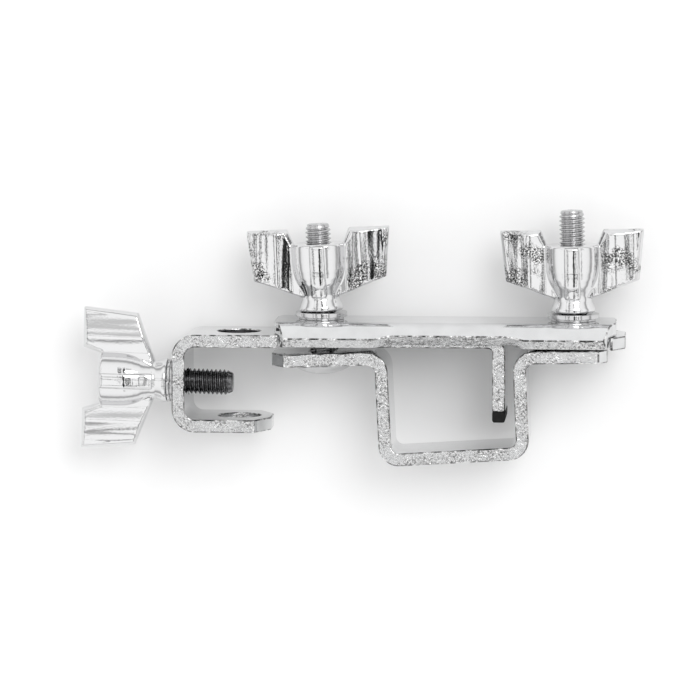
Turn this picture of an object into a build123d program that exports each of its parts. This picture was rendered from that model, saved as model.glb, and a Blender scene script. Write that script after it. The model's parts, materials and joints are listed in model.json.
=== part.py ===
"""Percussion rod and strap clamp: bent-strip rod bracket with a hook arm, pressed saddle, hat-section strap,
two bolts with cast wing nuts, and a cast wing screw that grips the rod.

Frame, in millimetres: +Y along the rod's axis, towards the wing nuts; +X along the clamp, from the rod to the
strap; +Z square to the clamp's broad side. The origin is the centre of the rod hole on the lower ear's outer face.
"""
from build123d import *
import os
from math import cos, radians, sin, tan

# --- driving dimensions ---------------------------------------------------------------------------------------
STRIP = 3.0                # thickness of every pressed strip
ROD_HOLE = 10.0            # hole for a 9.5 mm rod
EAR_GAP = 16.85            # clear height between the two ears
THREAD = 6.0               # M6 bolts and wing screw
THREAD_ROOT = 4.9          # minor diameter
BORE_IN_NUT = 6.2          # a plain hole stands for the tapped thread
WALL_X = -14.8             # outer face of the bracket's end wall
EAR_END_X = 7.8            # free end of the lower ear
EAR_WIDTH = 20.0
ARM_WIDTH = 14.0           # the arm narrows to run between the saddle's lips
SHOULDER_X = 8.8           # where it narrows
SHOULDER_SLANT = 1.2
HOOK_X = 62.5              # outer face of the hook leg
HOOK_TIP_Y = 5.15          # steel end of the hook leg
SADDLE_START, SADDLE_END = 8.7, 88.0
LEFT_LEAN, RIGHT_LEAN = 2.6, 1.2   # degrees that the bolts of the loose strap lean towards the rod
SCREW_LEAN = 1.7           # degrees that the wing screw's handle sits high
LEFT_BOLT_X, RIGHT_BOLT_X = 19.35, 78.0
LEFT_BOLT_TOP, RIGHT_BOLT_TOP = 48.15, 51.45

# --- sizes that follow ----------------------------------------------------------------------------------------
SCREW_Y = STRIP + EAR_GAP / 2 - 0.375
ARM_UNDER = STRIP + EAR_GAP
ARM_TOP = ARM_UNDER + STRIP
SADDLE_TOP = ARM_TOP + STRIP
GAP = 0.02                 # air between faces that only touch
RUNNING = 0.1              # radial clearance of a pin in its hole

LOCK_RING_HEIGHT, WASHER_HEIGHT = 0.55, 1.1
WASHER_UNDER = SADDLE_TOP + GAP + LOCK_RING_HEIGHT + GAP
NUT_SEAT = WASHER_UNDER + WASHER_HEIGHT + 0.26


def lean_at(x):
    return radians(LEFT_LEAN if x < HOOK_X else RIGHT_LEAN)


def leaning(x, y):
    """Plane on a bolt's axis at height y; x is where that axis meets its nut's seat."""
    lean = lean_at(x)
    return Plane(origin=(x + (NUT_SEAT - y) * tan(lean), y, 0), x_dir=(0, 0, 1), z_dir=(-sin(lean), cos(lean), 0))


def upright(x, y):
    """Plane at (x, y, 0) with its normal along +Y."""
    return Plane(origin=(x, y, 0), x_dir=(0, 0, 1), z_dir=(0, 1, 0))


def sideways(x):
    """Plane on the wing screw's axis at x, with its normal the way the screw backs out."""
    lean = radians(SCREW_LEAN)
    rise = (WALL_X - x) * tan(lean)
    return Plane(origin=(x, SCREW_Y + rise, 0), x_dir=(0, 0, 1), z_dir=(-cos(lean), sin(lean), 0))


def bent_strip(points, radii, width, side):
    """Strip along a bent line, with the line as one of its two faces; the radii are that face's."""
    face_line = FilletPolyline(*points, radius=radii)
    outline = offset(face_line, amount=STRIP, side=side)
    return extrude(make_face(outline.edges()), amount=width / 2, both=True)


def box_between(low, high):
    """Box from one corner to the other."""
    size = [b - a for a, b in zip(low, high)]
    return Pos(*low) * Box(*size, align=(Align.MIN, Align.MIN, Align.MIN))


def round_hole(plane, radius, length=30):
    """Cylinder centred on a plane's origin and along its normal."""
    return plane * Cylinder(radius, length)


def turned(plane, outline):
    """Solid of revolution about a plane's normal; outline holds (radius, height) points."""
    profile = make_face(Polyline(*[(r, h) for r, h in outline], close=True))
    return plane * revolve(Plane.XZ * profile, Axis.Z, 360)


def ring(plane, outer, inner, height, edge=0.12):
    """Flat washer standing on a plane, with its two outer corners rounded."""
    disc = fillet(Cylinder(outer, height, align=(Align.CENTER, Align.CENTER, Align.MIN)).edges(), edge)
    return plane * (disc - Cylinder(inner, 4 * height))


def clipped_end(x_end, width, clip_x, clip_z, sign):
    """Two prisms that clip the plan corners of a strip's end; sign is +1 at a right-hand end."""
    corners = []
    for side in (-1, 1):
        edge = side * width / 2
        points = [(x_end - sign * clip_x, edge), (x_end, edge - side * clip_z),
                  (x_end + sign, edge - side * clip_z), (x_end + sign, edge + side),
                  (x_end - sign * clip_x, edge + side)]
        prism = extrude(make_face(Polyline(*points, close=True)), amount=200, both=True)
        corners.append(Rot(-90, 0, 0) * prism)
    return corners


def beside_arm(side, x_in, x_out, x_end):
    """Prism that cuts a strip down to the arm's width on one side, between a slanted shoulder and x_end."""
    points = [(x_in, side * ARM_WIDTH / 2), (x_out, side * EAR_WIDTH / 2), (x_out, side * EAR_WIDTH),
              (x_end, side * EAR_WIDTH), (x_end, side * ARM_WIDTH / 2)]
    return Rot(-90, 0, 0) * extrude(make_face(Polyline(*points, close=True)), amount=200, both=True)


# --- rod bracket ----------------------------------------------------------------------------------------------
EAR_BEND, HOOK_BEND = 5.4, 4.2         # outer radii
SLOT_HALF = THREAD / 2 + 0.3
SLIDE_RIGHT = 15.0                     # travel of the saddle away from the rod
SLOT_SPARE = 1.6


def rod_bracket():
    line = [(EAR_END_X, 0), (WALL_X, 0), (WALL_X, ARM_TOP), (HOOK_X, ARM_TOP), (HOOK_X, HOOK_TIP_Y)]
    body = bent_strip(line, [EAR_BEND, EAR_BEND, HOOK_BEND], EAR_WIDTH, Side.RIGHT)
    for side in (-1, 1):
        body -= beside_arm(side, SHOULDER_X, SHOULDER_X + SHOULDER_SLANT, HOOK_X + 10)
    lower_ear_only = box_between((0, -1, -EAR_WIDTH), (EAR_END_X + 2, STRIP + 1, EAR_WIDTH))
    for corner in clipped_end(EAR_END_X, EAR_WIDTH, 3.4, 6.4, 1):
        body -= corner & lower_ear_only
    body -= round_hole(upright(0, ARM_TOP / 2), ROD_HOLE / 2, 2 * ARM_TOP)
    body -= round_hole(sideways(WALL_X), BORE_IN_NUT / 2, 4 * STRIP)
    slot_start, slot_end = LEFT_BOLT_X - SLOT_SPARE, LEFT_BOLT_X + SLIDE_RIGHT + SLOT_SPARE
    slot = SlotOverall(slot_end - slot_start + 2 * SLOT_HALF, 2 * SLOT_HALF)
    middle = (slot_start + slot_end) / 2
    body -= Pos(middle, ARM_TOP, 0) * Rot(90, 0, 0) * extrude(slot, amount=2 * STRIP, both=True)
    return body


# --- hook cap -------------------------------------------------------------------------------------------------
CAP_BOTTOM = HOOK_TIP_Y - 2.6


def hook_cap():
    top = HOOK_TIP_Y - GAP
    left = HOOK_X - STRIP
    block = box_between((left, CAP_BOTTOM, -ARM_WIDTH / 2), (HOOK_X, top, ARM_WIDTH / 2))
    return chamfer(block.edges().group_by(Axis.Y)[0], 0.35)


# --- saddle ---------------------------------------------------------------------------------------------------
FLAT_HALF = 7.3            # half width of the saddle's flat top
LIP_ANGLE = 40.0           # how far each lip turns down
LIP_BEND = 5.0             # outer radius of that bend
LIP_STRAIGHT = 3.55         # straight length beyond the bend
ARCH_START, ARCH_END, ARCH_DEPTH = 32.5, 67.0, 1.15
LIP_SETBACK = 3.0          # the lips' ends stand back from the top's ends


def lip_point(radius_offset, along):
    """Point of a lip in the (z, y) plane: offset inwards from the outer face, and length past the bend."""
    turn = radians(LIP_ANGLE)
    radius = LIP_BEND - radius_offset
    z = FLAT_HALF + radius * sin(turn) + along * cos(turn)
    y = SADDLE_TOP - LIP_BEND + radius * cos(turn) - along * sin(turn)
    return z, y


def saddle_section():
    """Half of the cross-section, in (z, y), mirrored about the middle."""
    turn = radians(LIP_ANGLE)
    centre_y = SADDLE_TOP - LIP_BEND

    def on_arc(radius, part):
        return FLAT_HALF + radius * sin(turn * part), centre_y + radius * cos(turn * part)

    outer_end, inner_end = lip_point(0, LIP_STRAIGHT), lip_point(STRIP, LIP_STRAIGHT)
    inner = LIP_BEND - STRIP
    outline = [
        Line((0, SADDLE_TOP), (FLAT_HALF, SADDLE_TOP)),
        ThreePointArc((FLAT_HALF, SADDLE_TOP), on_arc(LIP_BEND, 0.5), on_arc(LIP_BEND, 1)),
        Line(on_arc(LIP_BEND, 1), outer_end),
        Line(outer_end, inner_end),
        Line(inner_end, on_arc(inner, 1)),
        ThreePointArc(on_arc(inner, 1), on_arc(inner, 0.5), (FLAT_HALF, ARM_TOP)),
        Line((FLAT_HALF, ARM_TOP), (0, ARM_TOP)),
        Line((0, ARM_TOP), (0, SADDLE_TOP)),
    ]
    half = make_face(outline)
    return half + mirror(half, Plane.YZ)


def saddle_plate():
    length = SADDLE_END - SADDLE_START
    section_plane = Plane(origin=(SADDLE_START, 0, 0), x_dir=(0, 0, -1), z_dir=(1, 0, 0))
    body = extrude(section_plane * saddle_section(), amount=length)
    half = lip_point(0, LIP_STRAIGHT)[0]
    plan = Rot(-90, 0, 0) * extrude(plan_outline(half), amount=60, both=True)
    body &= plan
    cutter = arch_cutter()
    body -= cutter
    body -= mirror(cutter, Plane.XY)
    for x in (LEFT_BOLT_X, RIGHT_BOLT_X):
        body -= round_hole(leaning(x, SADDLE_TOP), THREAD / 2 + 0.35)
    return body


def plan_outline(half):
    """Outline of the saddle seen from above: wide in the middle, with its ends rounded."""
    lip_start, lip_end = SADDLE_START + LIP_SETBACK, SADDLE_END - LIP_SETBACK
    edge = half + 1
    nose = FLAT_HALF - 2.5
    points = [(SADDLE_START, -nose), (SADDLE_START + 0.7, -FLAT_HALF - 0.4), (lip_start, -edge),
              (lip_end, -edge), (SADDLE_END - 0.7, -FLAT_HALF - 0.4), (SADDLE_END, -nose)]
    points += [(x, -z) for x, z in reversed(points)]
    outline = make_face(Polyline(*points, close=True))
    return fillet(outline.vertices().filter_by(lambda v: abs(v.Y) < edge - 0.5), 1.2)


def arch_cutter():
    """Prism square to one lip that shortens it between the strap's legs."""
    turn = radians(LIP_ANGLE)
    z, y = lip_point(0, LIP_STRAIGHT)
    up_the_lip = Plane(origin=(0, y, z), x_dir=(1, 0, 0), z_dir=(0, cos(turn), sin(turn)))
    points = [(ARCH_START - 6, -3), (ARCH_START, 0), (ARCH_START + 3.5, ARCH_DEPTH),
              (ARCH_END - 3.5, ARCH_DEPTH), (ARCH_END, 0), (ARCH_END + 6, -3)]
    outline = make_face(Polyline(*points, close=True))
    outline = fillet(outline.vertices().filter_by(lambda v: v.Y > ARCH_DEPTH - 0.01), 2.5)
    return extrude(up_the_lip * outline, amount=STRIP + 1, both=True)


# --- spacer ---------------------------------------------------------------------------------------------------
SPACER_START, SPACER_SHOULDER, SPACER_END = 67.4, 87.9, 90.2


def spacer_plate():
    under = ARM_UNDER + GAP
    top = ARM_TOP - GAP
    body = box_between((SPACER_START, under, -EAR_WIDTH / 2), (SPACER_END, top, EAR_WIDTH / 2))
    for side in (-1, 1):
        body -= beside_arm(side, SPACER_SHOULDER, SPACER_SHOULDER - SHOULDER_SLANT, SPACER_START - 1)
    for corner in clipped_end(SPACER_END, EAR_WIDTH, 3.0, 5.0, 1):
        body -= corner
    return body - round_hole(leaning(RIGHT_BOLT_X, ARM_TOP), THREAD / 2 + 0.35)


# --- strap ----------------------------------------------------------------------------------------------------
STRAP_WIDTH = 18.0
STRAP_START, STRAP_END = 8.0, 86.1
STRAP_LINE = [(7.0, 15.065), (32.3, 15.95), (33.5, -7.85), (68.3, -5.65), (67.3, 16.5), (87.1, 16.763)]
STRAP_RADII = [1.9, 4.7, 4.7, 1.9]      # of the lower, outer face
SQUARE_NECK = 6.0


def strap():
    body = bent_strip(STRAP_LINE, STRAP_RADII, STRAP_WIDTH, Side.LEFT)
    body &= box_between((STRAP_START, -20, -STRAP_WIDTH), (STRAP_END, 40, STRAP_WIDTH))
    for corner in clipped_end(STRAP_START, STRAP_WIDTH, 3.2, 5.4, -1):
        body -= corner
    for corner in clipped_end(STRAP_END, STRAP_WIDTH, 2.0, 2.6, 1):
        body -= corner
    neck = SQUARE_NECK + 2 * RUNNING
    body -= leaning(LEFT_BOLT_X, flange_under(LEFT_BOLT_X)) * Box(neck, neck, 4 * STRIP)
    under_right = leaning(RIGHT_BOLT_X, flange_under(RIGHT_BOLT_X))
    body -= round_hole(under_right, THREAD / 2 + 2 * RUNNING)
    body -= under_right * countersink(RUNNING)
    return body


def flange_under(x):
    """Height of the flanges' lower face at x."""
    ends = STRAP_LINE[:2] if x < HOOK_X else STRAP_LINE[-2:]
    (x0, y0), (x1, y1) = ends
    return y0 + (y1 - y0) * (x - x0) / (x1 - x0)


# --- bolts ----------------------------------------------------------------------------------------------------
HEAD_RADIUS, HEAD_HEIGHT, HEAD_GAP = 7.15, 2.3, 0.12
SINK_RADIUS, SINK_DEPTH = 5.6, 2.6
TIP = 1.9                  # plain end beyond the thread
TIP_RADIUS = 2.3


def countersink(extra=0.0):
    """Cone of a flush head, on its own axis, from the flange's lower face up."""
    return Pos(0, 0, -0.3) * Cone(SINK_RADIUS + extra + 0.3, THREAD / 2 + extra, SINK_DEPTH + 0.3,
                                  align=(Align.CENTER, Align.CENTER, Align.MIN))


def threaded_rod(length):
    """Plain rod at the pitch diameter's outside, with a chamfered end."""
    rod = Cylinder(THREAD / 2, length - TIP, align=(Align.CENTER, Align.CENTER, Align.MIN))
    end = Pos(0, 0, length - TIP) * Cone(THREAD_ROOT / 2 + 0.1, TIP_RADIUS, TIP,
                                         align=(Align.CENTER, Align.CENTER, Align.MIN))
    return rod + end


def bolt_left():
    seat_y = flange_under(LEFT_BOLT_X)
    length = (LEFT_BOLT_TOP - seat_y) / cos(radians(LEFT_LEAN))
    neck = Pos(0, 0, STRIP / 2) * Box(SQUARE_NECK, SQUARE_NECK, STRIP)
    dome = turned(Plane.XY, [(0, 0), (HEAD_RADIUS, 0), (HEAD_RADIUS, -0.6), (6.3, -1.4),
                             (4.6, -2.0), (2.4, -HEAD_HEIGHT), (0, -HEAD_HEIGHT - 0.1)])
    return leaning(LEFT_BOLT_X, seat_y - HEAD_GAP) * (threaded_rod(length) + neck + dome)


def bolt_right():
    seat_y = flange_under(RIGHT_BOLT_X)
    length = (RIGHT_BOLT_TOP - seat_y) / cos(radians(RIGHT_LEAN))
    head = Cone(SINK_RADIUS, THREAD / 2, SINK_DEPTH, align=(Align.CENTER, Align.CENTER, Align.MIN))
    drive = extrude(RegularPolygon(2.0, 6, major_radius=False), amount=1.6)
    return leaning(RIGHT_BOLT_X, seat_y + 0.05) * (threaded_rod(length) + head - drive)


# --- washers --------------------------------------------------------------------------------------------------
def lock_ring(plane, outer, inner, height, cut=0.5):
    """Spring washer: a ring with one narrow gap."""
    gap = Pos(0, (outer + inner) / 2, height / 2) * Rot(0, 30, 0) * Box(cut, outer - inner + 1, 4 * height)
    body = Cylinder(outer, height, align=(Align.CENTER, Align.CENTER, Align.MIN)) - Cylinder(inner, 4 * height)
    return plane * (body - gap)


def nut_washer(x):
    return ring(upright(x, WASHER_UNDER), 6.0, THREAD / 2 + 0.4, WASHER_HEIGHT)


def nut_lock_ring(x):
    return lock_ring(upright(x, SADDLE_TOP + GAP), 5.2, THREAD / 2 + 0.4, LOCK_RING_HEIGHT)


# --- wing castings --------------------------------------------------------------------------------------------
HUB = 6.5                              # radius
HUB_TOP = 15.8
HUB_OUTLINE = [(0, 0), (4.9, 0), (5.2, 0.3), (5.2, 0.9), (4.4, 2.9), (4.45, 3.8), (4.9, 5.0), (5.5, 6.3),
               (6.0, 7.8), (6.35, 9.6), (HUB, 11.6), (HUB, HUB_TOP - 0.4), (HUB - 0.4, HUB_TOP), (0, HUB_TOP)]
WING_FOOT = 7.4                        # height of the wings' lower corners
NUT_WING = (16.7, 19.2)                # reach and height of the nuts' wings
SCREW_WING = (16.7, 20.1)              # the same for the wing screw
WING_TAPER = 1.2                       # how much less the wings reach at the foot
WING_EDGE = 0.9                        # half thickness at the rim
RIM = 1.6                              # width of the sloped rim at the wing's end
WING_PLAN = [(2.5, 3.6), (6.3, 2.1), (9.9, 2.6)]    # (reach, half thickness) from the hub to the ridge
WING_FACE_END = 1.8                    # half thickness where the rim starts
PANEL_WIDTH, PANEL_RISE = 3.2, 0.3


def wing_casting(reach, wing_top):
    """Hub with a flared skirt and two faceted wings, standing on z = 0 with the wings along local Y."""
    body = turned(Plane.XY, HUB_OUTLINE)
    for side in (-1, 1):
        body += wing_blade(side, reach, wing_top)
    low, high = 3.4, HUB_TOP - 0.6
    panel = Pos(HUB + PANEL_RISE - 1.6, 0, (low + high) / 2) * Box(3.2, PANEL_WIDTH, high - low)
    slope = turned(Plane.XY, [(r + PANEL_RISE, h) for r, h in HUB_OUTLINE[1:-1]] + [(0, HUB_TOP), (0, 0)])
    panel &= slope
    return body + panel + mirror(panel, Plane.YZ)


def wing_blade(side, reach, wing_top):
    """One wing: a thin core with a sloped rim on both faces, thickest along a ridge."""
    foot = reach - WING_TAPER
    outline = [(2.5, 3.2), (4.4, 3.2), (foot, WING_FOOT), (reach, wing_top), (7.2, wing_top),
               (5.7, HUB_TOP - 0.4), (2.5, HUB_TOP - 0.4)]
    face = [(2.5, 3.7), (4.7, 3.7), (foot - RIM, WING_FOOT), (reach - RIM, wing_top - 0.9),
            (7.9, wing_top - 0.9), (6.6, HUB_TOP - 0.5), (2.5, HUB_TOP - 0.5)]
    thick = WING_PLAN[-1][1] + 0.1
    rim_outline = wing_section(outline, side, WING_EDGE)
    face_outline = wing_section(face, side, thick)
    core = extrude(wing_section(outline, side, 0), amount=WING_EDGE, both=True)
    front = loft([rim_outline, face_outline])
    plan = WING_PLAN + [(reach - RIM, WING_FACE_END), (reach, WING_FACE_END)]
    edge = [(side * y, x) for y, x in plan] + [(side * y, -x) for y, x in reversed(plan)]
    above = Plane(origin=(0, 0, 0), x_dir=(0, 1, 0), z_dir=(0, 0, 1)) * make_face(Polyline(*edge, close=True))
    return (core + front + mirror(front, Plane.YZ)) & extrude(above, amount=40)


def wing_section(points, side, x):
    """Face of a wing's outline in the plane at x, from (y, z) points."""
    outline = make_face(Polyline(*[(side * y, z) for y, z in points], close=True))
    return Plane(origin=(x, 0, 0), x_dir=(0, 1, 0), z_dir=(1, 0, 0)) * outline


def wing_nut(x):
    return leaning(x, NUT_SEAT) * (wing_casting(*NUT_WING) - Cylinder(BORE_IN_NUT / 2, 60))


# --- wing screw -----------------------------------------------------------------------------------------------
SCREW_TIP_X = -1.4
SCREW_LOCK_HEIGHT, SCREW_WASHER_HEIGHT = 1.0, 0.7
SCREW_LOCK_X = WALL_X - 0.16           # the ring's edge clears the wall although it leans
SCREW_WASHER_X = SCREW_LOCK_X - SCREW_LOCK_HEIGHT - GAP
SCREW_SEAT_X = SCREW_WASHER_X - SCREW_WASHER_HEIGHT - GAP
STUD_IN_HEAD = 12.0
STUD_RADIUS = THREAD / 2
STUD_SOCKET_END = 0.3


def wing_screw_head():
    socket = Cylinder(STUD_RADIUS, STUD_IN_HEAD + STUD_SOCKET_END, align=(Align.CENTER, Align.CENTER, Align.MIN))
    head = wing_casting(*SCREW_WING) - socket - Pos(0, 0, -1) * socket
    return sideways(SCREW_SEAT_X) * head


def wing_screw_stud():
    length = SCREW_TIP_X - SCREW_SEAT_X + STUD_IN_HEAD
    rod = threaded_rod(length)
    return sideways(SCREW_SEAT_X - STUD_IN_HEAD) * Rot(180, 0, 0) * rod


def screw_washer():
    return ring(sideways(SCREW_WASHER_X), 5.0, THREAD / 2 + 0.3, SCREW_WASHER_HEIGHT)


def screw_lock_ring():
    return lock_ring(sideways(SCREW_LOCK_X), 4.8, THREAD / 2 + 0.3, SCREW_LOCK_HEIGHT)


PIECES = {
    "rod_bracket": rod_bracket,
    "hook_cap": hook_cap,
    "saddle_plate": saddle_plate,
    "spacer_plate": spacer_plate,
    "strap": strap,
    "bolt_left": bolt_left,
    "bolt_right": bolt_right,
    "lock_ring_left": lambda: nut_lock_ring(LEFT_BOLT_X),
    "lock_ring_right": lambda: nut_lock_ring(RIGHT_BOLT_X),
    "washer_left": lambda: nut_washer(LEFT_BOLT_X),
    "washer_right": lambda: nut_washer(RIGHT_BOLT_X),
    "wing_nut_left": lambda: wing_nut(LEFT_BOLT_X),
    "wing_nut_right": lambda: wing_nut(RIGHT_BOLT_X),
    "wing_screw_head": wing_screw_head,
    "wing_screw_stud": wing_screw_stud,
    "screw_washer": screw_washer,
    "screw_lock_ring": screw_lock_ring,
}

os.makedirs("parts", exist_ok=True)
for name, make in PIECES.items():
    export_step(make(), f"parts/{name}.step")
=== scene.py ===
"""Looks for the percussion rod and strap clamp.

Chrome strip, cast wing handles, cut threads, and a pale studio.
"""
import json
import math

import bmesh
import bpy
from mathutils import Matrix, Vector


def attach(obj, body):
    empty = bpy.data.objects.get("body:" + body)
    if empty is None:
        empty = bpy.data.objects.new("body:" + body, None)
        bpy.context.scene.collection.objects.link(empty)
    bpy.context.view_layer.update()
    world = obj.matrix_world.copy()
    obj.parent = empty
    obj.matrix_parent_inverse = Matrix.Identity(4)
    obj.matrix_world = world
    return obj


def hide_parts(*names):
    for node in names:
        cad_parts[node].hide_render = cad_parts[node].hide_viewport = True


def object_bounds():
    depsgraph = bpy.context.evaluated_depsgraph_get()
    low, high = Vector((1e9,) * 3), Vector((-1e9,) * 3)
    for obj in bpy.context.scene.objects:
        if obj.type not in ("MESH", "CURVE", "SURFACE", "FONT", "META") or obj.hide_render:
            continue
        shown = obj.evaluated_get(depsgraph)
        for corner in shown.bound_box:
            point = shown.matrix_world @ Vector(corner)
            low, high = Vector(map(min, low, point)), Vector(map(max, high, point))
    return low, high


MM = 0.001
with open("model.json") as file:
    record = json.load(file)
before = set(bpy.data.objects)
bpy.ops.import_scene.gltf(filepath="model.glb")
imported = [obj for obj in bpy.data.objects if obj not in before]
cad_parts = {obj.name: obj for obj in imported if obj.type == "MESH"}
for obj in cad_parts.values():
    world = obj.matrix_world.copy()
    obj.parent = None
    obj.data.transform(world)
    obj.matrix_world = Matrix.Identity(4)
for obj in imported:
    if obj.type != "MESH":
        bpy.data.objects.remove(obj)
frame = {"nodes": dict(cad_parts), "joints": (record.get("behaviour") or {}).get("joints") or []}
cad_low, cad_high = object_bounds()
NODES = frame["nodes"]
JOINTS = {j["name"]: j for j in frame["joints"]}

# M6 thread
THREAD_R = 3.0 * MM
ROOT_R = 2.45 * MM
PITCH = 1.0 * MM
CREST_FLAT = 0.1               # of half a turn
FLANK = 0.78                   # of half a turn
AROUND = 40                    # points in one ring of a thread
RINGS_PER_TURN = 14            # and rings in one turn of it
TIP_CHAMFER = 0.12 * MM        # length of the last step at a thread's free end
TIP_SHRINK = 0.9               # what it leaves of the radius

# softened CAD pieces and castings
SAME_PLACE = 0.002 * MM        # vertices nearer than this are one
SAME_PLANE = math.radians(0.4)
CORNER = math.radians(30)      # edges sharper than this are rounded
CREASE = math.radians(40)      # edges of the threaded pieces sharper than this stay creases
STRIP_ROUNDING = 0.28 * MM
WASHER_ROUNDING = 0.1 * MM
SPRING_WASHER_ROUNDING = 0.06 * MM
CAP_ROUNDING = 0.3 * MM
CASTING_VOXEL = 0.18 * MM
CASTING_SMOOTHING = 12         # passes
WING_START = 6.5 * MM          # from the casting's axis; nearer is hub

# looks
CLOUDED = 0.92                 # brightness left where plating is clouded
PATCH_EDGE = 0.07              # how softly patches of grain end

# faces of the strips that get another material: limits for parts of their normals
SQUARE_TO_Z = 0.9
ALONG_Y = 0.1
FACES_DOWN = -0.5
FACES_OUT = 0.3
ROD_HOLE_WALL_R = 5.1 * MM     # a little over the hole's 5 mm
BETWEEN_EARS = 12 * MM         # height; the arm is above it


# --- node helpers ------------------------------------------------------------------------------------------
def new_material(name, metallic=1.0):
    """New material, its node tree and its shader."""
    material = bpy.data.materials.new(name)
    material.use_nodes = True
    tree = material.node_tree
    shader = tree.nodes["Principled BSDF"]
    shader.inputs["Metallic"].default_value = metallic
    return material, tree, shader


def add_node(tree, kind, **values):
    """Node with its sockets, or else its own settings, at the given values."""
    node = tree.nodes.new(kind)
    for key, value in values.items():
        if key in node.inputs:
            node.inputs[key].default_value = value
        else:
            setattr(node, key, value)
    return node


def noise(tree, scale, detail=3.0, roughness=0.5, stretch=None):
    """3-D noise in the piece's own coordinates; scale is features per metre."""
    coords = add_node(tree, "ShaderNodeTexCoord")
    source = coords.outputs["Object"]
    if stretch:
        mapping = add_node(tree, "ShaderNodeMapping", Scale=stretch)
        tree.links.new(source, mapping.inputs["Vector"])
        source = mapping.outputs["Vector"]
    texture = add_node(tree, "ShaderNodeTexNoise", Scale=scale, Detail=detail, Roughness=roughness)
    tree.links.new(source, texture.inputs["Vector"])
    return texture.outputs["Fac"]


def bump(tree, height, depth, below=None):
    """Relief of a depth in metres, on top of the relief below."""
    node = add_node(tree, "ShaderNodeBump", Strength=1.0, Distance=depth)
    tree.links.new(height, node.inputs["Height"])
    if below:
        tree.links.new(below, node.inputs["Normal"])
    return node.outputs["Normal"]


def ramp(tree, fac, stops):
    """Colour ramp; stops are (position, grey) or (position, (r, g, b))."""
    node = add_node(tree, "ShaderNodeValToRGB")
    while len(node.color_ramp.elements) < len(stops):
        node.color_ramp.elements.new(0.5)
    for element, (place, tone) in zip(node.color_ramp.elements, stops):
        element.position = place
        rgb = tone if isinstance(tone, tuple) else (tone, tone, tone)
        element.color = (*rgb, 1.0)
    tree.links.new(fac, node.inputs["Fac"])
    return node.outputs["Color"]


def uneven_gloss(tree, shader, low, high, scale, detail):
    """Roughness that wanders between low and high."""
    stops = [(0.3, low), (0.7, high)]
    tree.links.new(ramp(tree, noise(tree, scale, detail), stops), shader.inputs["Roughness"])


def fine_grain(tree, shader, scale, depth, waves):
    """Fine relief on top of the waves."""
    grain = noise(tree, scale, detail=3, roughness=0.6)
    tree.links.new(bump(tree, grain, depth, waves), shader.inputs["Normal"])


# --- materials ---------------------------------------------------------------------------------------------
def plated(name, colour, rough, waves, grain):
    """Plated metal; waves and grain are (features per metre, depth in metres) of its unevenness."""
    material, tree, shader = new_material(name)
    dull = tuple(CLOUDED * c for c in colour)
    clouds = ramp(tree, noise(tree, 260, detail=4), [(0.35, dull), (0.65, colour)])
    tree.links.new(clouds, shader.inputs["Base Color"])
    low, high = rough
    uneven_gloss(tree, shader, low, high, scale=900, detail=5)
    wave_scale, wave_depth = waves
    grain_scale, grain_depth = grain
    wavy = bump(tree, noise(tree, wave_scale, detail=2), wave_depth)
    fine_grain(tree, shader, grain_scale, grain_depth, wavy)
    return material


def sheared_chrome():
    """Plated over a torn, pitted surface: bright, with dark pits that come in patches."""
    material, tree, shader = new_material("chrome_sheared_edge")
    torn = noise(tree, 1900, detail=4, roughness=0.7)
    pits = ramp(tree, torn, [(0.39, 0.07), (0.46, 0.45), (0.58, 0.82)])
    patches = ramp(tree, noise(tree, 300, detail=3), [(0.42, 0.90), (0.60, 0.15)])
    tone = add_node(tree, "ShaderNodeMix", data_type="RGBA", B=(0.70, 0.705, 0.71, 1.0))
    tree.links.new(patches, tone.inputs["Factor"])
    tree.links.new(pits, tone.inputs["A"])
    tree.links.new(tone.outputs["Result"], shader.inputs["Base Color"])
    uneven_gloss(tree, shader, low=0.10, high=0.28, scale=1300, detail=4)
    wavy = bump(tree, noise(tree, 700, detail=2), 0.22 * MM)
    fine_grain(tree, shader, 2000, 0.11 * MM, wavy)
    return material


def dark_rim_reflection_and_wear():
    """Rounded edge of a strip: near-black patches in its colour are painted reflection, the dark lines seen
    along chrome edges; they also stand for plating that is thin and broken along it.
    """
    material, tree, shader = new_material("dark_rim_reflection_and_wear")
    broken = noise(tree, 520, detail=5, roughness=0.7)
    # painted reflection: the near-black end of this ramp paints dark lines along the rounded edges, and the
    # noise breaks them up like worn plating
    worn = ramp(tree, broken, [(0.40, 0.03), (0.50, 0.30), (0.60, 0.85)])
    tree.links.new(worn, shader.inputs["Base Color"])
    uneven_gloss(tree, shader, low=0.12, high=0.30, scale=1300, detail=4)
    tree.links.new(bump(tree, noise(tree, 1700, detail=3), 0.08 * MM), shader.inputs["Normal"])
    return material


def cast_chrome(name, stretch, ripple, grain_at):
    """Plated casting with polishing ripples, drawn out along the axis that stretch makes small.

    Dark pitted grain lies where patchy noise passes grain_at.
    """
    material, tree, shader = new_material(name)
    specks = noise(tree, 2600, detail=5, roughness=0.8)
    pits = ramp(tree, specks, [(0.47, 0.01), (0.50, 0.30), (0.54, 0.85)])
    patches = ramp(tree, noise(tree, 150, detail=3), [(grain_at, 0.0), (grain_at + PATCH_EDGE, 1.0)])
    tone = add_node(tree, "ShaderNodeMix", data_type="RGBA", A=(0.70, 0.70, 0.705, 1.0))
    tree.links.new(patches, tone.inputs["Factor"])
    tree.links.new(pits, tone.inputs["B"])
    tree.links.new(tone.outputs["Result"], shader.inputs["Base Color"])
    uneven_gloss(tree, shader, low=0.02, high=0.07, scale=900, detail=4)
    ripples = bump(tree, noise(tree, 270, detail=1, roughness=0.4, stretch=stretch), ripple)
    fine_grain(tree, shader, 2100, 0.01 * MM, ripples)
    return material


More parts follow.
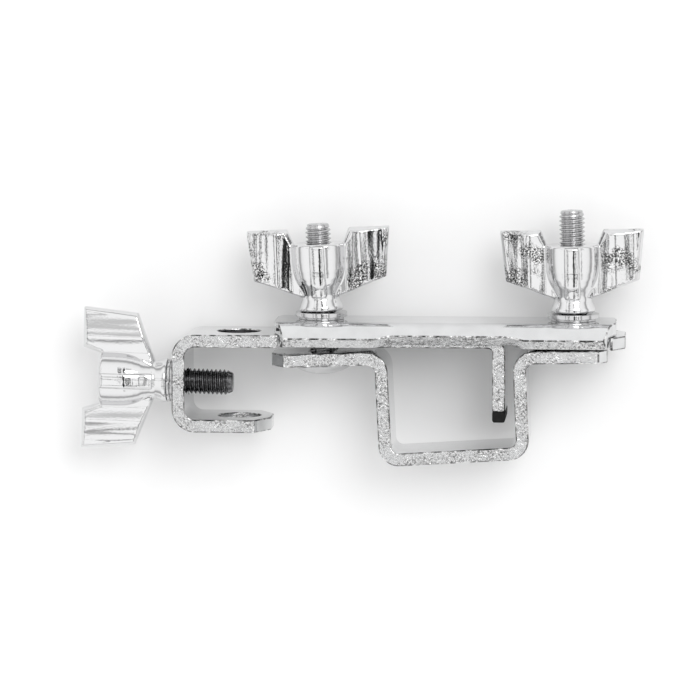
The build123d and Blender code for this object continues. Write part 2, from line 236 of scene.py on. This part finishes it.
def black_oxide():
    """Black steel, worn a little greyer in places."""
    material, tree, shader = new_material("black_oxide_steel")
    black = (0.09, 0.09, 0.092)
    grey = (0.24, 0.24, 0.245)
    worn = ramp(tree, noise(tree, 1500, detail=5), [(0.42, black), (0.70, grey)])
    tree.links.new(worn, shader.inputs["Base Color"])
    uneven_gloss(tree, shader, low=0.10, high=0.20, scale=2600, detail=4)
    tree.links.new(bump(tree, noise(tree, 4800, detail=3), 0.006 * MM), shader.inputs["Normal"])
    return material


def rubber():
    """Matt black rubber."""
    material, tree, shader = new_material("black_rubber", metallic=0.0)
    shader.inputs["Specular IOR Level"].default_value = 0.15
    dusty = ramp(tree, noise(tree, 1800, detail=5), [(0.3, 0.004), (0.7, 0.012)])
    tree.links.new(dusty, shader.inputs["Base Color"])
    uneven_gloss(tree, shader, low=0.42, high=0.6, scale=900, detail=3)
    tree.links.new(bump(tree, noise(tree, 5200, detail=4), 0.02 * MM), shader.inputs["Normal"])
    return material


CHROME = plated("chrome_face", colour=(0.69, 0.695, 0.70), rough=(0.04, 0.08),
                waves=(300, 0.02 * MM), grain=(2600, 0.0008 * MM))
# painted shade: the wall of the arm's rod hole is coloured near-black for the dark inside the hole
ROD_HOLE_SHADE = plated("rod_hole_painted_shade", colour=(0.10, 0.10, 0.105), rough=(0.2, 0.35),
                 waves=(900, 0.06 * MM), grain=(3300, 0.05 * MM))
BOLT = plated("plated_bolt", colour=(0.52, 0.52, 0.525), rough=(0.12, 0.24),
              waves=(900, 0.01 * MM), grain=(5200, 0.004 * MM))
WASHER = plated("plated_washer", colour=(0.60, 0.60, 0.605), rough=(0.05, 0.12),
                waves=(500, 0.01 * MM), grain=(3000, 0.003 * MM))
SHEARED = sheared_chrome()
RIM = dark_rim_reflection_and_wear()
BLACK = black_oxide()
RUBBER = rubber()
CAST_HUB = cast_chrome("chrome_casting_hub", stretch=(1.0, 1.0, 1.0), ripple=0.04 * MM, grain_at=0.80)
NUT_WINGS = cast_chrome("chrome_casting_nut_wing", stretch=(1.0, 0.08, 1.0), ripple=0.44 * MM,
                        grain_at=0.52)
SCREW_WINGS = cast_chrome("chrome_casting_screw_wing", stretch=(0.08, 1.0, 1.0), ripple=0.24 * MM,
                          grain_at=0.80)
STRIP_MATERIALS = (CHROME, SHEARED, ROD_HOLE_SHADE, RIM)


# --- mesh helpers ------------------------------------------------------------------------------------------
def finish_piece(obj, body, material, stands_for):
    """Smooth, dressed piece that rides a body in place of a CAD node."""
    obj.data.materials.clear()
    obj.data.materials.append(material)
    obj.data.polygons.foreach_set("use_smooth", [True] * len(obj.data.polygons))
    obj.data.update()
    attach(obj, body)
    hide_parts(stands_for)


def mesh_object(name, build):
    """Object from a bmesh that build fills."""
    shape = bmesh.new()
    build(shape)
    bmesh.ops.recalc_face_normals(shape, faces=shape.faces)
    data = bpy.data.meshes.new(name)
    shape.to_mesh(data)
    shape.free()
    obj = bpy.data.objects.new(name, data)
    bpy.context.scene.collection.objects.link(obj)
    return obj


def loft(shape, rings):
    """Skin over rings of equal length, with both ends closed."""
    rows = [[shape.verts.new(point) for point in ring] for ring in rings]
    count = len(rows[0])
    for low, high in zip(rows, rows[1:]):
        for i in range(count):
            k = (i + 1) % count
            shape.faces.new((low[i], low[k], high[k], high[i]))
    shape.faces.new(rows[0])
    shape.faces.new(rows[-1])


def circle(radius, height, count):
    """Points of a circle round local z."""
    angles = [2 * math.pi * i / count for i in range(count)]
    return [(radius * math.cos(a), radius * math.sin(a), height) for a in angles]


def round_rings(profile, low, count):
    """One circle for each (radius, height above low) in mm."""
    return [circle(r * MM, low + h * MM, count) for r, h in profile]


def keep_creases(obj):
    with bpy.context.temp_override(object=obj, active_object=obj, selected_objects=[obj]):
        bpy.ops.object.shade_smooth_by_angle(angle=CREASE)


def soften(obj, bevel, rim_material=-1):
    """Rounded corners, by modifiers only; rim_material is the rounding's material index."""
    weld = obj.modifiers.new("weld", "WELD")
    weld.merge_threshold = SAME_PLACE
    merge = obj.modifiers.new("planar", "DECIMATE")
    merge.decimate_type = "DISSOLVE"
    merge.angle_limit = SAME_PLANE
    merge.delimit = {"MATERIAL"}
    rounding = obj.modifiers.new("bevel", "BEVEL")
    rounding.width = bevel
    rounding.segments = 3
    rounding.limit_method = "ANGLE"
    rounding.angle_limit = CORNER
    rounding.use_clamp_overlap = False
    rounding.harden_normals = False
    rounding.material = rim_material
    normals = obj.modifiers.new("normals", "WEIGHTED_NORMAL")
    normals.keep_sharp = True


def axis_matrix(joint):
    """Matrix whose local z is the joint's axis and whose x is the row's z."""
    z_axis = Vector(joint["axis"]).normalized()
    y_axis = z_axis.cross(Vector((0, 0, 1))).normalized()
    x_axis = y_axis.cross(z_axis)
    matrix = Matrix((x_axis, y_axis, z_axis)).transposed().to_4x4()
    matrix.translation = Vector(joint["pos_m"])
    return matrix


def along_axis(node, matrix):
    """Lowest and highest place of a CAD node along a matrix's z."""
    inverse = matrix.inverted()
    heights = [(inverse @ v.co).z for v in NODES[node].data.vertices]
    return min(heights), max(heights)


# --- pressed strips, washers and cap: the CAD nodes themselves ---------------------------------------------
def dress_strip(node):
    """Chrome on the strip's faces, rough chrome on its sheared edges, and softened corners whose rounding
    gets the painted dark rim reflection.
    """
    obj = NODES[node]
    obj.data.materials.clear()
    for material in STRIP_MATERIALS:
        obj.data.materials.append(material)
    for face in obj.data.polygons:
        look = SHEARED if abs(face.normal.z) > SQUARE_TO_Z else CHROME
        face.material_index = STRIP_MATERIALS.index(look)
        face.use_smooth = True
    soften(obj, STRIP_ROUNDING, rim_material=STRIP_MATERIALS.index(RIM))


def dress_rod_hole():
    """Painted shade on the wall of the arm's rod hole, which runs along y: a near-black colour stands for
    the dark seen inside the hole.
    """
    for face in NODES["rod_bracket"].data.polygons:
        x, y, z = face.center
        in_hole = math.hypot(x, z) < ROD_HOLE_WALL_R and abs(face.normal.y) < ALONG_Y
        # painted shade goes on the hole's wall
        if in_hole and y > BETWEEN_EARS:
            face.material_index = STRIP_MATERIALS.index(ROD_HOLE_SHADE)


def dress_saddle():
    """The lips' sheared ends slope, so they are found by facing down and outwards."""
    for face in NODES["saddle_plate"].data.polygons:
        outwards = face.normal.z * (1 if face.center.z > 0 else -1)
        if face.normal.y < FACES_DOWN and outwards > FACES_OUT:
            face.material_index = STRIP_MATERIALS.index(SHEARED)


def dress_small(node, material, bevel):
    """One material and softened corners."""
    obj = NODES[node]
    obj.data.materials.clear()
    obj.data.materials.append(material)
    for face in obj.data.polygons:
        face.use_smooth = True
    soften(obj, bevel)


# --- castings ----------------------------------------------------------------------------------------------
def casting(node, name, body, joint, wings):
    """Cast copy of a CAD node: every corner softly rounded, as a mould leaves it.

    The wings have a material of their own.
    """
    data = NODES[node].data.copy()
    obj = bpy.data.objects.new(name, data)
    bpy.context.scene.collection.objects.link(obj)
    weld = obj.modifiers.new("weld", "WELD")
    weld.merge_threshold = SAME_PLACE
    remesh = obj.modifiers.new("remesh", "REMESH")
    remesh.mode = "VOXEL"
    remesh.voxel_size = CASTING_VOXEL
    smooth = obj.modifiers.new("smooth", "SMOOTH")
    smooth.factor = 0.5
    smooth.iterations = CASTING_SMOOTHING
    bpy.context.view_layer.update()
    graph = bpy.context.evaluated_depsgraph_get()
    final = bpy.data.meshes.new_from_object(obj.evaluated_get(graph))
    obj.modifiers.clear()
    obj.data = final
    finish_piece(obj, body, CAST_HUB, node)
    obj.data.materials.append(wings)
    inverse = axis_matrix(JOINTS[joint]).inverted()
    for face in obj.data.polygons:
        face.material_index = 1 if abs((inverse @ face.center).y) > WING_START else 0


# --- bolts and stud ----------------------------------------------------------------------------------------
def thread_radius(turns):
    """Radius of a 60 degree thread at a distance along its helix, in turns."""
    phase = turns % 1.0
    rise = min(1.0, max(0.0, (abs(phase - 0.5) * 2 - CREST_FLAT) / FLANK))
    return THREAD_R + (ROOT_R - THREAD_R) * rise


def threaded(shape, start, end, tip, tip_radius):
    """Right-hand thread from start to end on local z, fading over the tip's length to its radius."""
    rings = []
    steps = int(round((end - start) / PITCH * RINGS_PER_TURN))
    for row in range(steps + 1):
        z = start + (end - start) * row / steps
        into_tip = max(0.0, z - (end - tip)) / tip
        limit = THREAD_R + (tip_radius - THREAD_R) * into_tip
        ring = []
        for i in range(AROUND):
            turn = i / AROUND
            radius = min(limit, thread_radius(z / PITCH - turn))
            angle = 2 * math.pi * turn
            ring.append((radius * math.cos(angle), radius * math.sin(angle), z))
        rings.append(ring)
    rings.append([(x * TIP_SHRINK, y * TIP_SHRINK, z + TIP_CHAMFER) for x, y, z in rings[-1]])
    loft(shape, rings)


def bolt_piece(name, node, joint, head):
    """Bolt of the strap on a nut's axis, with a head that head(shape, low) adds."""
    matrix = axis_matrix(JOINTS[joint])
    low, high = along_axis(node, matrix)
    thread_start = low + 2.2 * MM

    def build(shape):
        threaded(shape, thread_start, high - TIP_CHAMFER, tip=1.6 * MM, tip_radius=2.5 * MM)
        head(shape, low)
        shape.transform(matrix)

    obj = mesh_object(name, build)
    finish_piece(obj, "strap", BOLT, node)
    keep_creases(obj)


def carriage_head(shape, low):
    """Domed head and square neck with cut corners."""
    dome = [(0.6, 0.0), (1.6, 0.06), (2.8, 0.24), (4.2, 0.62), (5.4, 1.1), (6.4, 1.66),
            (6.95, 2.05), (7.12, 2.24), (7.15, 2.36), (7.05, 2.4)]
    loft(shape, round_rings(dome, low, 72))
    half = 3.0 * MM
    corner = 2.85 * MM
    square = [(half, corner), (corner, half), (-corner, half), (-half, corner),
              (-half, -corner), (-corner, -half), (corner, -half), (half, -corner)]
    neck_start = low + 2.38 * MM
    neck_end = low + 5.38 * MM
    loft(shape, [[(x, y, z) for x, y in square] for z in (neck_start, neck_end)])


def sunk_head(shape, low):
    """Countersunk head with a hexagon socket."""
    count = 60
    half_across_flats = 2.0 * MM
    socket_depth = 1.6 * MM
    socket_chamfer = 0.12 * MM
    socket_mouth = 1.06
    hexagon = []
    for i in range(count):
        angle = 2 * math.pi * i / count
        from_flat = (angle + math.pi / 6) % (math.pi / 3) - math.pi / 6
        radius = half_across_flats / math.cos(from_flat)
        hexagon.append((radius * math.cos(angle), radius * math.sin(angle)))
    rings = [[(x, y, low + socket_depth) for x, y in hexagon],
             [(x, y, low + socket_chamfer) for x, y in hexagon],
             [(x * socket_mouth, y * socket_mouth, low) for x, y in hexagon]]
    cone = [(5.45, 0.0), (5.6, 0.1), (5.55, 0.2), (3.0, 2.6), (2.6, 3.0)]
    loft(shape, rings + round_rings(cone, low, count))


def stud_piece():
    """Wing screw's stud; its free end points against the joint's axis."""
    matrix = axis_matrix(JOINTS["screw_turn"])
    low, high = along_axis("wing_screw_stud", matrix)
    flip = matrix @ Matrix.Rotation(math.pi, 4, "X")

    def build(shape):
        threaded(shape, -high, -low - TIP_CHAMFER, tip=1.7 * MM, tip_radius=2.25 * MM)
        shape.transform(flip)

    obj = mesh_object("stud_thread", build)
    finish_piece(obj, "wing_screw", BLACK, "wing_screw_stud")
    keep_creases(obj)


for strip in ("rod_bracket", "saddle_plate", "spacer_plate", "strap"):
    dress_strip(strip)
dress_rod_hole()
dress_saddle()
for ring in ("washer_left", "washer_right", "screw_washer"):
    dress_small(ring, WASHER, WASHER_ROUNDING)
for ring in ("lock_ring_left", "lock_ring_right", "screw_lock_ring"):
    dress_small(ring, BOLT, SPRING_WASHER_ROUNDING)
dress_small("hook_cap", RUBBER, CAP_ROUNDING)
casting("wing_nut_left", "cast_nut_left", "wing_nut_left", "nut_left_turn", NUT_WINGS)
casting("wing_nut_right", "cast_nut_right", "wing_nut_right", "nut_right_turn", NUT_WINGS)
casting("wing_screw_head", "cast_screw_head", "wing_screw", "screw_turn", SCREW_WINGS)
bolt_piece("bolt_left_thread", "bolt_left", "nut_left_turn", carriage_head)
bolt_piece("bolt_right_thread", "bolt_right", "nut_right_turn", sunk_head)
stud_piece()

# --- studio ------------------------------------------------------------------------------------------------
FLOOR_HALF = 3.0
KEY_PLACE = (0.42, 0.50, 1.0)
KEY_TARGET = (0.03, 0.02, 0.0)
KEY_SIZE = 0.7
KEY_WATTS = 4.0
CAMERA_PLACE = Vector((0.104145, 0.130493, 1.015))
CAMERA_TARGET = Vector((0.02599, 0.01851, 0.0))
CAMERA_LENS = 225.76
SENSOR_WIDTH = 36.0
SKY_STRENGTH = 1.25

# the sky's brightness by height: a grey horizon under a white tent
SKY = [(0.0, 0.80), (0.06, 0.42), (0.16, 0.40), (0.30, 0.88), (0.5, 0.97), (1.0, 1.0)]
# what breaks the tent overhead: (direction, place, half width, brightness left)
TENT_GAPS = [("X", 0.11, 0.06, 0.02), ("X", -0.29, 0.02, 0.05), ("X", 0.25, 0.018, 0.05),
             ("X", -0.37, 0.02, 0.05), ("X", 0.42, 0.018, 0.08), ("X", 0.60, 0.05, 0.45),
             ("X", -0.55, 0.02, 0.25), ("Y", 0.0, 0.012, 0.10), ("Y", 0.17, 0.05, 0.62),
             ("Y", -0.42, 0.02, 0.30)]
OVERHEAD_FROM = 0.55           # height in the sky where the gaps begin, and where they are full
OVERHEAD_FULL = 0.75


def floor_material():
    material, tree, shader = new_material("pale_floor", metallic=0.0)
    clouds = ramp(tree, noise(tree, 6, detail=2), [(0.3, 0.93), (0.7, 0.95)])
    tree.links.new(clouds, shader.inputs["Base Color"])
    shader.inputs["Roughness"].default_value = 0.9
    shader.inputs["Specular IOR Level"].default_value = 0.1
    return material


def pale_floor():
    def build(shape):
        corners = [(-FLOOR_HALF, -FLOOR_HALF), (FLOOR_HALF, -FLOOR_HALF),
                   (FLOOR_HALF, FLOOR_HALF), (-FLOOR_HALF, FLOOR_HALF)]
        shape.faces.new([shape.verts.new((x, y, cad_low.z)) for x, y in corners])

    floor = mesh_object("pale_floor", build)
    floor.data.materials.append(floor_material())


def tent_gap(tree, axis, place, half_width):
    """1 on a narrow band overhead where the direction's X or Y is near place, 0 elsewhere."""
    coords = add_node(tree, "ShaderNodeTexCoord")
    parts = add_node(tree, "ShaderNodeSeparateXYZ")
    tree.links.new(coords.outputs["Generated"], parts.inputs[0])
    band = add_node(tree, "ShaderNodeMath", operation="COMPARE")
    tree.links.new(parts.outputs[axis], band.inputs[0])
    band.inputs[1].default_value = place
    band.inputs[2].default_value = half_width
    overhead = add_node(tree, "ShaderNodeMapRange", interpolation_type="SMOOTHSTEP")
    overhead.inputs["From Min"].default_value = OVERHEAD_FROM
    overhead.inputs["From Max"].default_value = OVERHEAD_FULL
    tree.links.new(parts.outputs["Z"], overhead.inputs["Value"])
    limited = add_node(tree, "ShaderNodeMath", operation="MULTIPLY")
    tree.links.new(band.outputs[0], limited.inputs[0])
    tree.links.new(overhead.outputs["Result"], limited.inputs[1])
    return limited.outputs[0]


def studio_sky():
    """White tent: a dark opening overhead for the camera, and the tent's frame as dark bars beside it."""
    world = bpy.data.worlds.new("studio")
    bpy.context.scene.world = world
    world.use_nodes = True
    tree = world.node_tree
    background = tree.nodes["Background"]
    coords = add_node(tree, "ShaderNodeTexCoord")
    parts = add_node(tree, "ShaderNodeSeparateXYZ")
    tree.links.new(coords.outputs["Generated"], parts.inputs[0])
    shade = ramp(tree, parts.outputs["Z"], SKY)
    for axis, place, half_width, left in TENT_GAPS:
        mix = add_node(tree, "ShaderNodeMix", data_type="RGBA", blend_type="MULTIPLY")
        mix.inputs["B"].default_value = (left, left, left, 1.0)
        tree.links.new(tent_gap(tree, axis, place, half_width), mix.inputs["Factor"])
        tree.links.new(shade, mix.inputs["A"])
        shade = mix.outputs["Result"]
    tree.links.new(shade, background.inputs["Color"])
    background.inputs["Strength"].default_value = SKY_STRENGTH


def key_light():
    data = bpy.data.lights.new("key", "AREA")
    data.shape = "DISK"
    data.size = KEY_SIZE
    data.energy = KEY_WATTS
    light = bpy.data.objects.new("key", data)
    light.location = KEY_PLACE
    light.rotation_euler = (Vector(KEY_TARGET) - Vector(KEY_PLACE)).to_track_quat("-Z", "Y").to_euler()
    bpy.context.scene.collection.objects.link(light)


def photo_camera():
    """Camera nearly square to the clamp's broad side, as in the photo."""
    back = (CAMERA_PLACE - CAMERA_TARGET).normalized()
    right = Vector((0, 1, 0)).cross(back).normalized()
    up = back.cross(right)
    data = bpy.data.cameras.new("camera")
    data.lens = CAMERA_LENS
    data.sensor_width = SENSOR_WIDTH
    data.clip_end = 20.0
    camera = bpy.data.objects.new("camera", data)
    matrix = Matrix((right, up, back)).transposed().to_4x4()
    matrix.translation = CAMERA_PLACE
    camera.matrix_world = matrix
    bpy.context.scene.collection.objects.link(camera)
    bpy.context.scene.camera = camera


pale_floor()
studio_sky()
key_light()
photo_camera()
bpy.context.scene.view_settings.view_transform = "Standard"
